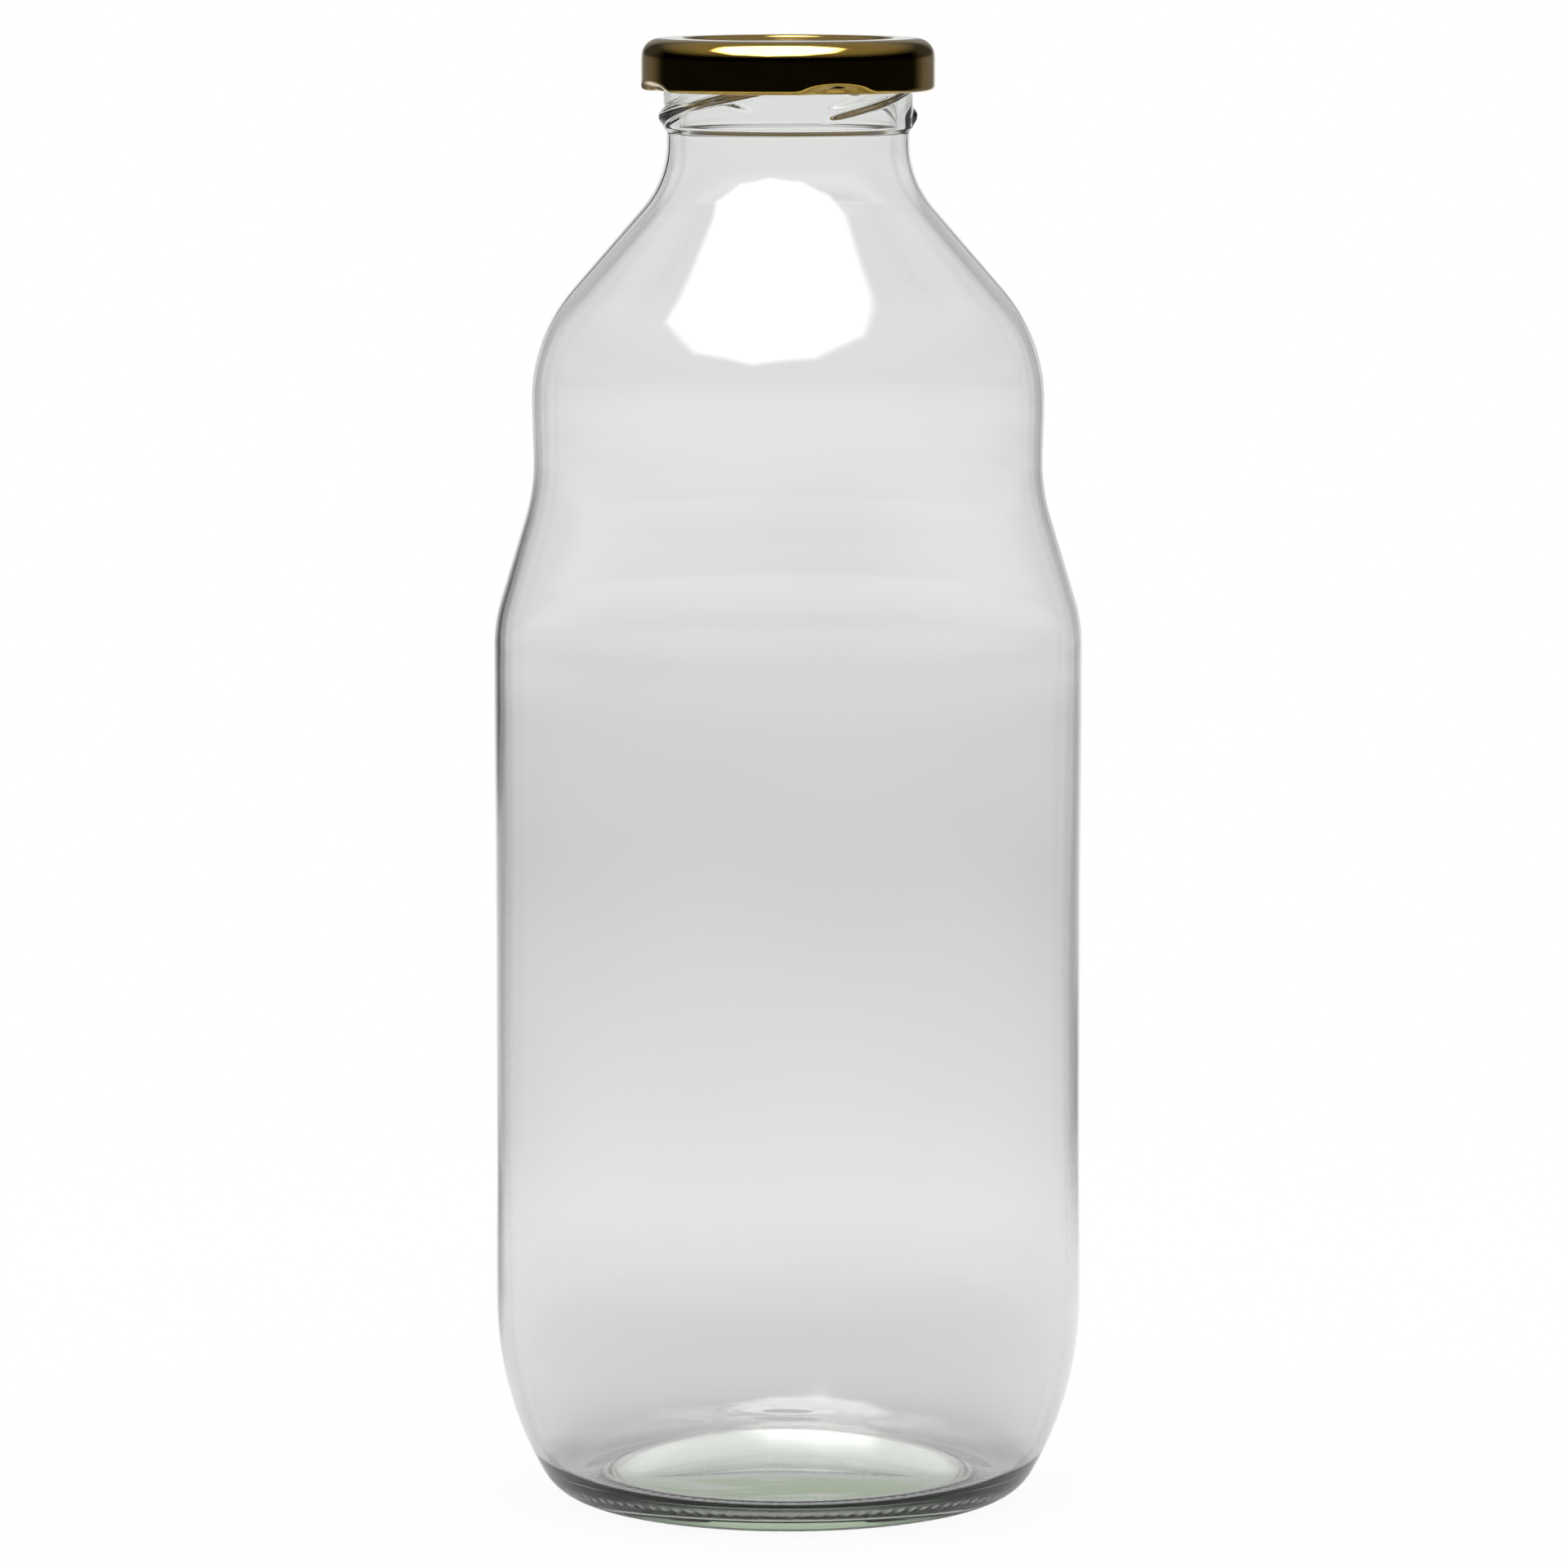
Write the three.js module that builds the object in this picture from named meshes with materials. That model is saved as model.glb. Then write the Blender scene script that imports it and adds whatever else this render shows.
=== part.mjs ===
// A one litre glass milk bottle, closed by a four-lug twist-off cap with a moulded-in sealing ring.
//
// Units are millimetres and +Z is up. The origin is the middle of the base, on the surface that the bottle stands on.
// The bottle is one moulding of glass: a bearing ring round a raised base, a deeply rounded heel, a straight body
// with a shallow label panel, a flare in to a waist, a bulge, a shoulder, a neck, and a finish that carries
// four helical ridges. The cap is one pressing of tinplate, whose rolled edge is pushed in at four places to make
// the lugs that hook under those ridges. The sealing ring lies in the cap's channel and rests on the rim.

import * as THREE from "three";

// ---------------------------------------------------------------- driving dimensions

// Base and heel
const bodyRadius = 46; // outside of the body
const heelHeight = 31; // where the heel's long curve leaves the body wall
const heelSweep = 54; // radius of that long curve
const heelFillet = 8; // radius between the long curve and the bearing ring
const bearingWidth = 3.6; // flat ring that the bottle stands on
const recessWidth = 2; // slope from the bearing ring up into the base
const recessDepth = 1.3;
const pushUp = 4.5; // rise of the base at its middle

// Walls
const wall = 1.87; // body, shoulder and neck
const finishWall = 2.4; // round the mouth
const cornerFloor = 3; // height of the inside floor at its edge
const baseWall = 3.8; // glass at the middle of the base
const innerHeelSweep = 56;
const innerHeelFillet = 7;

// Body and label panel
const hipHeight = 134.5; // where the body wall starts to turn in
const panelDepth = 0.25;
const panelFoot = 7; // top of the heel to the bottom of the panel's lower ramp
const panelHead = 16; // top of the panel's upper ramp to the hip
const panelRamp = 10; // height of each ramp

// Hip, waist, bulge and shoulder
const hipCurve = 25;
const flareAngle = 16.8; // degrees from vertical
const waistInset = 6.25; // body wall in to the waist
const waistCurve = 30;
const bulgeProud = 0.25; // bulge out from the waist
const bulgeRise = 9.8; // waist up to the bulge
const shoulderCurve = 26;
const shoulderAngle = 41; // degrees from vertical
const neckCurve = 16;

// Mouth
const boreRadius = 17;
const neckLength = 2.1; // straight neck under the finish
const finishHeight = 12.7; // from the step at the neck to the rim
const stepChamfer = 0.35;
const rimOuterFillet = 1;
const rimInnerFillet = 0.8;

// Helical ridges on the finish
const lugCount = 4;
const lead = 26.5; // rise in one turn
const ridgeHeight = 0.75;
const ridgeFootWidth = 2.8;
const ridgeTipWidth = 0.8;
const ridgeLow = 1.95; // centre of a helix at ridgeStart, above the step
const ridgeHigh = 2.3; // centre of a ridge's high end, below the rim
const ridgeStart = 5; // degrees round from the front, where the first helix is at ridgeLow
const ridgeLate = 11; // degrees by which the front and back ridges start after that
const ridgeEarly = 12; // degrees by which the side ridges start before it
const ridgeTaper = 12; // degrees over which each end fades out

// Cap
const sheet = 0.22; // tinplate
const capHeight = 8.1;
const capCorner = 2.5;
const panelRecess = 0.5; // middle of the cap, below its raised ring
const channelInset = 0.5; // raised ring's inner edge, inside the bore's wall
const channelSlope = 0.8;
const curlRadius = 0.8; // rolled edge, outside radius
const curlTurn = 250; // degrees that the edge is rolled through
const skirtClearance = 1.15; // rolled edge to the ridges
const lugHalfWidth = 17; // degrees, at the outside of the dimple
const lugFlat = 0.35; // share of that width at full depth
const lugRise = 1.8; // top of the dimple, above the bottom of the cap
const lugWallGap = 0.3; // lug's nose to the glass
const lugRidgeGap = 0.3; // lug's top to the ridge above it

// Sealing ring
const sealThickness = 0.9;
const sealBoreInset = 0.5; // ring's inner edge, inside the bore's wall
const sealOverhang = 1.1; // ring's outer edge, past the finish
const sealGap = 0.1; // running gap above and below the ring

// Facets
const bottleSides = 48;
const capSides = 72;
const arcStep = 10; // degrees of curve in one facet

// ---------------------------------------------------------------- places worked out from them

const finishRadius = boreRadius + finishWall;
const neckRadius = boreRadius + wall;
const ridgeTipRadius = finishRadius + ridgeHeight;
const waistRadius = bodyRadius - waistInset;
const bulgeRadius = waistRadius + bulgeProud;

// The straight slope between two tangent curves, which are given by their radii and their ends' radii.
const slopeHeight = (outer, outerCurve, inner, innerCurve, angle) =>
  (outerCurve + innerCurve) * Math.sin(rad(angle)) +
  (outer - inner - (outerCurve + innerCurve) * (1 - Math.cos(rad(angle)))) / Math.tan(rad(angle));

const waistHeight = hipHeight + slopeHeight(bodyRadius, hipCurve, waistRadius, waistCurve, flareAngle);
const bulgeHeight = waistHeight + bulgeRise;
const neckHeight = bulgeHeight + slopeHeight(bulgeRadius, shoulderCurve, neckRadius, neckCurve, shoulderAngle);
const stepHeight = neckHeight + neckLength;
const rimHeight = stepHeight + finishHeight;

const sealBottom = rimHeight + sealGap;
const sealTop = sealBottom + sealThickness;
const capTop = sealTop + sealGap + sheet;
const capBottom = capTop - capHeight;
const capRadius = ridgeTipRadius + skirtClearance + 2 * curlRadius;
const lugTop = capBottom + 2 * curlRadius;
const lugDepth = capRadius - 2 * curlRadius - (finishRadius + lugWallGap);

const ridgeBottomHeight = stepHeight + ridgeLow;
const ridgeArc = ((finishHeight - ridgeLow - ridgeHigh) / lead) * 360;
// A lug stands where the ridge above it clears its top by lugRidgeGap, at the lug's low-side shoulder.
const lugAngle =
  ridgeStart -
  360 / lugCount +
  ((lugTop + lugRidgeGap + ridgeFootWidth / 2 - ridgeBottomHeight) / lead) * 360 +
  lugHalfWidth * lugFlat;

// ---------------------------------------------------------------- drawing helpers

function rad(degrees) {
  return (degrees * Math.PI) / 180;
}

const point = (radius, height) => new THREE.Vector2(radius, height);

// Points on an arc round (radius, height) at (x, y), in facets of about step degrees.
function arc(x, y, radius, from, to, step = arcStep) {
  const steps = Math.max(1, Math.round(Math.abs(to - from) / step));
  return Array.from({ length: steps + 1 }, (_, i) => {
    const a = rad(from + ((to - from) * i) / steps);
    return point(x + radius * Math.cos(a), y + radius * Math.sin(a));
  });
}

// An outline with the points that repeat their neighbour taken out.
function joined(...stretches) {
  return stretches.flat().filter((p, i, all) => i === 0 || p.distanceTo(all[i - 1]) > 1e-4);
}

// A body of revolution about Z. LatheGeometry turns about Y, so it is stood up afterwards: its seam is at the front.
// Each four-sided facet is split along the diagonal that rises with a right-hand helix.
function turned(outline, sides) {
  const lathe = new THREE.LatheGeometry(outline, sides).rotateX(Math.PI / 2);
  const corners = lathe.index.array;
  for (let i = 0; i < corners.length; i += 6) {
    const [a, b, d, c] = corners.slice(i, i + 4);
    corners.set([a, b, c, a, c, d], i);
  }
  return lathe;
}

// Moves every point outside the mouth's wall in or out from the axis, by what shift gives for its place.
// Angles are in degrees round from the front, and rise anticlockwise as seen from above.
function reshaped(geometry, shift) {
  const places = geometry.attributes.position;
  for (let i = 0; i < places.count; i++) {
    const [x, y, z] = [places.getX(i), places.getY(i), places.getZ(i)];
    const radius = Math.hypot(x, y);
    if (radius > finishRadius - 1e-3) {
      const angle = (Math.atan2(y, x) * 180) / Math.PI + 90;
      const scale = (radius + shift(angle, z, radius)) / radius;
      places.setXYZ(i, x * scale, y * scale, z);
    }
  }
  return geometry;
}

function meshOf(name, geometry, look) {
  geometry.computeVertexNormals();
  const mesh = new THREE.Mesh(geometry, new THREE.MeshStandardMaterial(look));
  mesh.name = name;
  return mesh;
}

// ---------------------------------------------------------------- bottle

// Hip to neck, upwards, moved in from the outside by inset.
function upperWall(inset) {
  const blend = (bulgeRise ** 2 + bulgeProud ** 2) / (4 * bulgeProud);
  const blendAngle = (Math.asin(bulgeRise / 2 / blend) * 180) / Math.PI;
  return [
    ...arc(bodyRadius - hipCurve, hipHeight, hipCurve - inset, 0, flareAngle),
    ...arc(waistRadius + waistCurve, waistHeight, waistCurve + inset, 180 + flareAngle, 180),
    ...arc(waistRadius + blend, waistHeight, blend + inset, 180, 180 - blendAngle),
    ...arc(bulgeRadius - blend, bulgeHeight, blend - inset, -blendAngle, 0),
    ...arc(bulgeRadius - shoulderCurve, bulgeHeight, shoulderCurve - inset, 0, shoulderAngle),
    ...arc(neckRadius + neckCurve, neckHeight, neckCurve + inset, 180 + shoulderAngle, 180),
  ];
}

// The heel, upwards: a fillet on the level that ends on a long curve, which ends on the wall at heelHeight.
function heel(wallRadius, sweep, fillet, level) {
  const sweepX = wallRadius - sweep;
  const drop = heelHeight - level - fillet;
  const filletX = sweepX + Math.sqrt((sweep - fillet) ** 2 - drop ** 2);
  const meet = (-Math.asin(drop / (sweep - fillet)) * 180) / Math.PI;
  return [
    ...arc(filletX, level + fillet, fillet, -90, meet, 2 * arcStep),
    ...arc(sweepX, heelHeight, sweep, meet, 0),
  ];
}

// A shallow dome, from the axis out to its edge.
function dome(edgeRadius, edgeHeight, rise) {
  const radius = (edgeRadius ** 2 + rise ** 2) / (2 * rise);
  const half = (Math.asin(edgeRadius / radius) * 180) / Math.PI;
  return arc(0, edgeHeight + rise - radius, radius, 90, 90 - half, arcStep / 2);
}

// Rows of facets up the finish. A ridge rises by one row from each facet to the next, midway between two rows.
function finishRows() {
  const pitch = lead / bottleSides;
  const top = rimHeight - rimOuterFillet;
  const first = ridgeBottomHeight - (ridgeStart / 360) * lead + pitch / 2;
  const rows = Array.from({ length: bottleSides }, (_, i) => first + (i - bottleSides / 2) * pitch);
  return rows
    .filter((height) => height > stepHeight + pitch / 2 && height < top - pitch / 2)
    .map((height) => point(finishRadius, height));
}

function bottleOutline() {
  const outerHeel = heel(bodyRadius, heelSweep, heelFillet, 0);
  const innerHeel = heel(bodyRadius - wall, innerHeelSweep, innerHeelFillet, cornerFloor);
  const recessTop = outerHeel[0].x - bearingWidth;
  const domeEdge = recessTop - recessWidth;
  const panelRadius = bodyRadius - panelDepth;
  const panelBottom = heelHeight + panelFoot;
  const panelTop = hipHeight - panelHead;
  return joined(
    dome(domeEdge, recessDepth, pushUp - recessDepth),
    [point(recessTop, 0)],
    outerHeel,
    [
      point(bodyRadius, panelBottom),
      point(panelRadius, panelBottom + panelRamp),
      point(panelRadius, panelTop - panelRamp),
      point(bodyRadius, panelTop),
    ],
    upperWall(0),
    [point(neckRadius, stepHeight - stepChamfer), point(finishRadius, stepHeight)],
    finishRows(),
    arc(finishRadius - rimOuterFillet, rimHeight - rimOuterFillet, rimOuterFillet, 0, 90, 30),
    arc(boreRadius + rimInnerFillet, rimHeight - rimInnerFillet, rimInnerFillet, 90, 180, 30),
    upperWall(wall).reverse(),
    innerHeel.reverse(),
    dome(innerHeel.at(-1).x, cornerFloor, pushUp + baseWall - cornerFloor).reverse(),
  );
}

// How far a ridge stands out of the finish at a place.
function ridgeAt(angle, height) {
  const spacing = 360 / lugCount;
  const proud = (i) => {
    const start = ridgeStart + i * spacing - ridgeEarly;
    const along = ((((angle - start) % 360) + 360) % 360) - ridgeEarly;
    const low = i % 2 === 0 ? ridgeLate : -ridgeEarly;
    const off = Math.abs(height - ridgeBottomHeight - (along / 360) * lead);
    const flank = (ridgeFootWidth / 2 - off) / ((ridgeFootWidth - ridgeTipWidth) / 2);
    const fade = Math.min(along - low, ridgeArc - along) / ridgeTaper;
    return ridgeHeight * THREE.MathUtils.clamp(Math.min(flank, fade), 0, 1);
  };
  return Math.max(...Array.from({ length: lugCount }, (_, i) => proud(i)));
}

function bottle() {
  const glass = reshaped(turned(bottleOutline(), bottleSides), ridgeAt);
  return meshOf("glass_bottle", glass, {
    color: 0xdfe5df,
    roughness: 0.03,
    metalness: 0,
    transparent: true,
    opacity: 0.4,
  });
}

// ---------------------------------------------------------------- cap

// One face of the sheet, from the axis out and down round the rolled edge, moved into the cap by inset.
function sheetFace(inset) {
  const channelInner = boreRadius - channelInset;
  const top = capTop - inset;
  const shift = inset * Math.tan(Math.atan2(panelRecess, channelSlope) / 2);
  return [
    point(0, top - panelRecess),
    point(channelInner - channelSlope + shift, top - panelRecess),
    point(channelInner + shift, top),
    ...arc(capRadius - capCorner, capTop - capCorner, capCorner - inset, 90, 0, 22.5),
    ...arc(capRadius - curlRadius, capBottom + curlRadius, curlRadius - inset, 0, -curlTurn, 42),
  ];
}

// How far the nearest lug pushes a place in. The rolled edge's inner half moves as one, and the skirt outside it
// follows less and less up to an arched edge.
function pressed(angle, height, radius) {
  if (height > lugTop + sheet) return 0;
  const spacing = 360 / lugCount;
  const off = Math.abs(((((angle - lugAngle) % spacing) + 1.5 * spacing) % spacing) - spacing / 2);
  const up = radius > capRadius - curlRadius ? (height - capBottom) / lugRise : 0;
  const away = Math.hypot(off / lugHalfWidth, up);
  return -lugDepth * (1 - THREE.MathUtils.smoothstep(away, lugFlat, 1));
}

function cap() {
  const outline = joined(sheetFace(0), sheetFace(sheet).reverse()).reverse();
  const shell = reshaped(turned(outline, capSides), pressed);
  return meshOf("cap_shell", shell, { color: 0xa98a3a, roughness: 0.25, metalness: 1 });
}

// ---------------------------------------------------------------- sealing ring

function sealingRing() {
  const inner = boreRadius - sealBoreInset;
  const outer = finishRadius + sealOverhang;
  const outline = [
    point(inner, sealBottom),
    point(outer, sealBottom),
    point(outer, sealTop),
    point(inner + sealGap, sealTop),
    point(inner, sealBottom),
  ];
  return meshOf("sealing_ring", turned(outline, bottleSides), {
    color: 0xe6e1d3,
    roughness: 0.6,
    metalness: 0,
  });
}

// ---------------------------------------------------------------- assembly

const milkBottle = new THREE.Group();
milkBottle.add(bottle(), cap(), sealingRing());

export default milkBottle;
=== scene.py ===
"""A clear glass milk bottle under a gold twist-off cap: its shapes, its finishes and the studio round it.

The bottle is one blown moulding of glass, the cap is one pressing of lacquered tinplate, and the sealing ring is
compound cast into the cap's channel. Sizes are in millimetres until a point is placed, and the meshes are in metres.
Angles round the bottle are in degrees from its front, which faces -Y, and rise anticlockwise as seen from above.
"""

from __future__ import annotations

import logging
import math
from collections.abc import Callable
from dataclasses import dataclass, field
from enum import Enum
from typing import Any

import bmesh
import bpy
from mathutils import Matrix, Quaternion, Vector

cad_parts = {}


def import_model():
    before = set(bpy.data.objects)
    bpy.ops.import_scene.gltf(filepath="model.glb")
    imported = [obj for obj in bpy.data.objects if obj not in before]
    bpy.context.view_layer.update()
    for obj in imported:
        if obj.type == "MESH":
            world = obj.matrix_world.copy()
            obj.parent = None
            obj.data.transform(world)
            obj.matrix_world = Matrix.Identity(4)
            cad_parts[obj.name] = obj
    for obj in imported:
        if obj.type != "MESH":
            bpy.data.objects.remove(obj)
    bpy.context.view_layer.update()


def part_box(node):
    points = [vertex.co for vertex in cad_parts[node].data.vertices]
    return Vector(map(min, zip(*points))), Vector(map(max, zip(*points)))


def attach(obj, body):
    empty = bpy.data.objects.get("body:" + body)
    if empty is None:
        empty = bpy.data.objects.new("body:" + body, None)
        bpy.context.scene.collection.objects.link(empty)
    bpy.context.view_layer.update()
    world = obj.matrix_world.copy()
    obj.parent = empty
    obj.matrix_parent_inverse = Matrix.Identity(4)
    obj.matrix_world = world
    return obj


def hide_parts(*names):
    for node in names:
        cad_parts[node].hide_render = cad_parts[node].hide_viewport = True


LOG = logging.getLogger("milk_bottle")
MM = 0.001
COLUMNS = 288  # facets round each turned piece
FRAME = 1920  # the width of the frame, and its height

Span = tuple[float, float, float, float]  # a range, and the two values that it is taken to
SOFT = {"interpolation_type": "SMOOTHSTEP"}
COLOURS = {"data_type": "RGBA"}
FLOATS = {"data_type": "FLOAT"}
TIMES = {"operation": "MULTIPLY"}
PLUS = {"operation": "ADD"}
MINUS = {"operation": "SUBTRACT"}
UNSIGNED = {"operation": "ABSOLUTE"}
LARGER = {"operation": "MAXIMUM"}


class Sheen(Enum):
    """How a lacquer was laid on the tinplate, as its roughness."""

    OUTSIDE_GLOSS = 0.07
    INSIDE_SATIN = 0.34


class Side(Enum):
    """Which wall of the bottle a point of its section is on."""

    OUTER = 0
    INNER = 1


# ---------------------------------------------------------------- small helpers


def linear(code: str) -> tuple[float, float, float, float]:
    """Turns an sRGB hex colour into linear light.

    Args:
        code: Six hex digits, with or without a leading hash.

    Returns:
        Red, green, blue and an alpha of 1.
    """
    digits = code.lstrip("#")
    shares = [int(digits[i : i + 2], 16) / 255 for i in (0, 2, 4)]
    red, green, blue = (s / 12.92 if s <= 0.04045 else ((s + 0.055) / 1.055) ** 2.4 for s in shares)
    return (red, green, blue, 1.0)


def smooth(value: float, low: float, high: float) -> float:
    """Rises from 0 at low to 1 at high, with no corner at either end."""
    share = min(1.0, max(0.0, (value - low) / (high - low)))
    return share * share * (3 - 2 * share)


def span(value: bpy.types.NodeSocket, low: float, high: float, at_low: float, at_high: float) -> dict[str, Any]:
    """The inputs that take a value's range from low to high to two new values."""
    return {"Value": value, "From Min": low, "From Max": high, "To Min": at_low, "To Max": at_high}


def place(
    tree: bpy.types.NodeTree,
    kind: str,
    settings: dict[str, Any] | None = None,
    inputs: dict[str | int, Any] | None = None,
) -> bpy.types.Node:
    """Adds one node, sets it and joins it up.

    Args:
        tree: The node tree that it goes in.
        kind: The node's type name.
        settings: The node's own properties.
        inputs: A value, or another node's output, for each input by name or number.

    Returns:
        The new node.
    """
    made = tree.nodes.new(kind)
    for name, value in (settings or {}).items():
        setattr(made, name, value)
    for key, value in (inputs or {}).items():
        if isinstance(value, bpy.types.NodeSocket):
            tree.links.new(value, made.inputs[key])
        else:
            made.inputs[key].default_value = value
    return made


def clean_tree(owner: bpy.types.Material | bpy.types.World) -> bpy.types.NodeTree:
    """Empties the node tree of a material or a world.

    Args:
        owner: The material or the world.

    Returns:
        Its empty node tree.
    """
    owner.use_nodes = True
    owner.node_tree.nodes.clear()
    return owner.node_tree


# ---------------------------------------------------------------- turned shapes


class SectionPen:
    """Draws half a section in the XZ plane, one stretch after another, and turns it about the Z axis."""

    def __init__(self, radius: float, height: float) -> None:
        """Puts the pen down.

        Args:
            radius: Distance from the axis.
            height: Height above the floor.
        """
        self.mesh = bmesh.new()
        self.side_layer = self.mesh.verts.layers.float.new("side")
        self.side = Side.OUTER
        made = bmesh.ops.create_vert(self.mesh, co=(radius * MM, 0, height * MM))
        self.tip = made["vert"][0]
        self.first = self.tip

    def _mark(self) -> None:
        """Notes on the newest point which wall it is on."""
        self.tip[self.side_layer] = float(self.side.value)

    def line_to(self, radius: float, height: float, steps: int = 1) -> None:
        """Draws a straight stretch.

        Args:
            radius: Where it ends, from the axis.
            height: Where it ends, above the floor.
            steps: How many rows of facets it takes.
        """
        start = self.tip.co.copy()
        end = Vector((radius * MM, 0, height * MM))
        for step in range(1, steps + 1):
            self.tip = bmesh.ops.extrude_vert_indiv(self.mesh, verts=[self.tip])["verts"][0]
            self.tip.co = start.lerp(end, step / steps)
            self._mark()

    def ease_to(self, radius: float, height: float, upright: bool, steps: int = 8) -> None:
        """Draws a stretch that starts and ends along one axis and drifts over gently between.

        Args:
            radius: Where it ends, from the axis.
            height: Where it ends, above the floor.
            upright: True if it runs up or down, and False if it runs in or out.
            steps: How many rows of facets it takes.
        """
        start = self.tip.co.copy()
        end = Vector((radius * MM, 0, height * MM))
        for step in range(1, steps + 1):
            along = step / steps
            drift = smooth(along, 0, 1)
            across, up = (drift, along) if upright else (along, drift)
            self.tip = bmesh.ops.extrude_vert_indiv(self.mesh, verts=[self.tip])["verts"][0]
            self.tip.co = Vector((start.x + (end.x - start.x) * across, 0, start.z + (end.z - start.z) * up))
            self._mark()

    def arc(self, radius: float, height: float, sweep: float, steps: int) -> None:
        """Draws part of a circle.

        Args:
            radius: The circle's centre, from the axis.
            height: The circle's centre, above the floor.
            sweep: Degrees to draw, positive from outwards towards upwards.
            steps: How many rows of facets it takes.
        """
        before = set(self.mesh.verts)
        swung = bmesh.ops.spin(
            self.mesh,
            geom=[self.tip],
            cent=(radius * MM, 0, height * MM),
            axis=(0, -1, 0),
            dvec=(0, 0, 0),
            angle=math.radians(sweep),
            steps=steps,
            use_merge=False,
        )
        self.tip = next(item for item in swung["geom_last"] if isinstance(item, bmesh.types.BMVert))
        for vert in set(self.mesh.verts) - before:
            vert[self.side_layer] = float(self.side.value)

    def turn(self) -> bmesh.types.BMesh:
        """Spins the section into a skin.

        Returns:
            The mesh, with its seam and poles merged and its faces pointing outwards.
        """
        bmesh.ops.spin(
            self.mesh,
            geom=self.mesh.verts[:] + self.mesh.edges[:],
            cent=(0, 0, 0),
            axis=(0, 0, 1),
            dvec=(0, 0, 0),
            angle=math.tau,
            steps=COLUMNS,
            use_merge=True,
        )
        bmesh.ops.remove_doubles(self.mesh, verts=self.mesh.verts, dist=1e-7)
        bmesh.ops.dissolve_degenerate(self.mesh, edges=self.mesh.edges, dist=1e-8)
        bmesh.ops.recalc_face_normals(self.mesh, faces=self.mesh.faces)
        return self.mesh


def shift_radius(mesh: bmesh.types.BMesh, shift: Callable[[bmesh.types.BMVert, float, float, float], float]) -> None:
    """Moves points in or out from the axis.

    Args:
        mesh: The mesh to reshape.
        shift: Gives the move in millimetres from a point, its angle, its radius and its height.
    """
    for vert in mesh.verts:
        radius = math.hypot(vert.co.x, vert.co.y)
        if radius > 1e-5:
            angle = math.degrees(math.atan2(vert.co.x, -vert.co.y))
            scale = 1 + shift(vert, angle, radius / MM, vert.co.z / MM) * MM / radius
            vert.co.x *= scale
            vert.co.y *= scale


def finish_piece(mesh: bmesh.types.BMesh, name: str, materials: list[bpy.types.Material]) -> bpy.types.Object:
    """Makes an object of a mesh, smoothly shaded.

    Args:
        mesh: The finished bmesh, which is freed.
        name: The piece's name.
        materials: Its materials, in slot order.

    Returns:
        The object, linked into the scene.
    """
    data = bpy.data.meshes.new(name)
    for face in mesh.faces:
        face.smooth = True
    mesh.to_mesh(data)
    mesh.free()
    for material in materials:
        data.materials.append(material)
    piece = bpy.data.objects.new(name, data)
    bpy.context.scene.collection.objects.link(piece)
    LOG.info("%s: %d faces", name, len(data.polygons))
    return piece


# ---------------------------------------------------------------- finishes


@dataclass(frozen=True)
class FlintGlass:
    """Clear soda-lime container glass, blown in an iron mould and fire polished.

    The eye sees a bright colourless wall, a green tinge only where it looks along the glass, a slow waviness from
    the mould, and a scuffed ring where the bottle stands.
    """

    ior: float = 1.52
    polish: float = 0.004  # roughness of the fire-polished skin
    scuffed: float = 0.5  # roughness of the ring that it stands on
    scuffed_to: float = 2.4  # height at which the scuffing ends
    scuff_grain: float = 1.6  # size of the scuffs, drawn coarser than real so that they show
    tinge: str = "#C8DAC0"  # what a metre of the glass leaves of white, at a density of 1
    density: float = 24.0
    ripple: float = 17.0  # distance between the mould's slow waves
    ripple_depth: float = 0.006
    smear: tuple[float, float] = (0.3, 0.8)  # the part of a wave over which the skin goes from bright to less so

    def make(self) -> bpy.types.Material:
        """Builds the material.

        Returns:
            The glass.
        """
        glass = bpy.data.materials.new("soda_lime_flint_glass")
        tree = clean_tree(glass)
        where = place(tree, "ShaderNodeTexCoord").outputs["Object"]
        ripple = place(
            tree,
            "ShaderNodeTexNoise",
            {"noise_dimensions": "3D"},
            {"Vector": where, "Scale": 1 / (self.ripple * MM), "Detail": 1.5, "Roughness": 0.35},
        )
        waved = place(
            tree,
            "ShaderNodeBump",
            None,
            {"Height": ripple.outputs[0], "Strength": 1.0, "Distance": self.ripple_depth * MM},
        )
        height = place(tree, "ShaderNodeSeparateXYZ", None, {0: where}).outputs["Z"]
        scuffs = place(
            tree,
            "ShaderNodeTexNoise",
            None,
            {"Vector": where, "Scale": 1 / (self.scuff_grain * MM), "Detail": 3.0, "Roughness": 0.6},
        )
        worn = place(tree, "ShaderNodeMapRange", SOFT, span(height, 0.0, self.scuffed_to * MM, self.scuffed, 0.0))
        patchy = place(tree, "ShaderNodeMath", TIMES, {0: worn.outputs[0], 1: scuffs.outputs[0]})
        smear = place(
            tree, "ShaderNodeMapRange", SOFT, span(ripple.outputs[0], *self.smear, self.polish, self.polish * 3)
        )
        rough = place(tree, "ShaderNodeMath", PLUS, {0: patchy.outputs[0], 1: smear.outputs[0]})
        shell = place(
            tree,
            "ShaderNodeBsdfPrincipled",
            None,
            {
                "Base Color": (1.0, 1.0, 1.0, 1.0),
                "IOR": self.ior,
                "Transmission Weight": 1.0,
                "Roughness": rough.outputs[0],
                "Normal": waved.outputs[0],
            },
        )
        tinge = {"Color": linear(self.tinge), "Density": self.density}
        depth = place(tree, "ShaderNodeVolumeAbsorption", None, tinge)
        place(tree, "ShaderNodeOutputMaterial", None, {"Surface": shell.outputs[0], "Volume": depth.outputs[0]})
        return glass


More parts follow.
